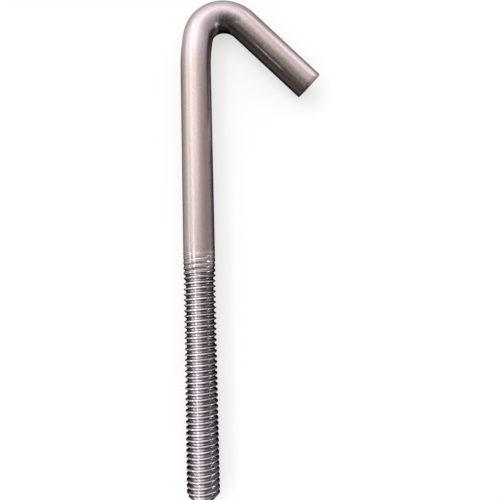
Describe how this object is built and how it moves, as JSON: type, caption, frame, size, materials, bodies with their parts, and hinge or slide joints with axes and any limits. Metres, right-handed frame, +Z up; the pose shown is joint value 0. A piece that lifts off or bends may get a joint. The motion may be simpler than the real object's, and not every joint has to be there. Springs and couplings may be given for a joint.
{
  "type": "j bolt",
  "caption": "Plain steel J bolt: a round rod with a cut thread and chamfered tip at one end and an open hook bent at the other.",
  "frame": {"origin": "centre of the threaded tip's end face, on the rod's axis", "axes": "+Y along the shank from the tip toward the hook, +X toward the side the hook opens to, +Z up from the surface the bolt lies on"},
  "size_m": [0.0446, 0.1524, 0.0096],
  "materials": {
    "drawn_steel": "plain cold-drawn steel, satin"
  },
  "bodies": {
    "root": {"j_bolt": "drawn_steel"}
  },
  "joints": []
}
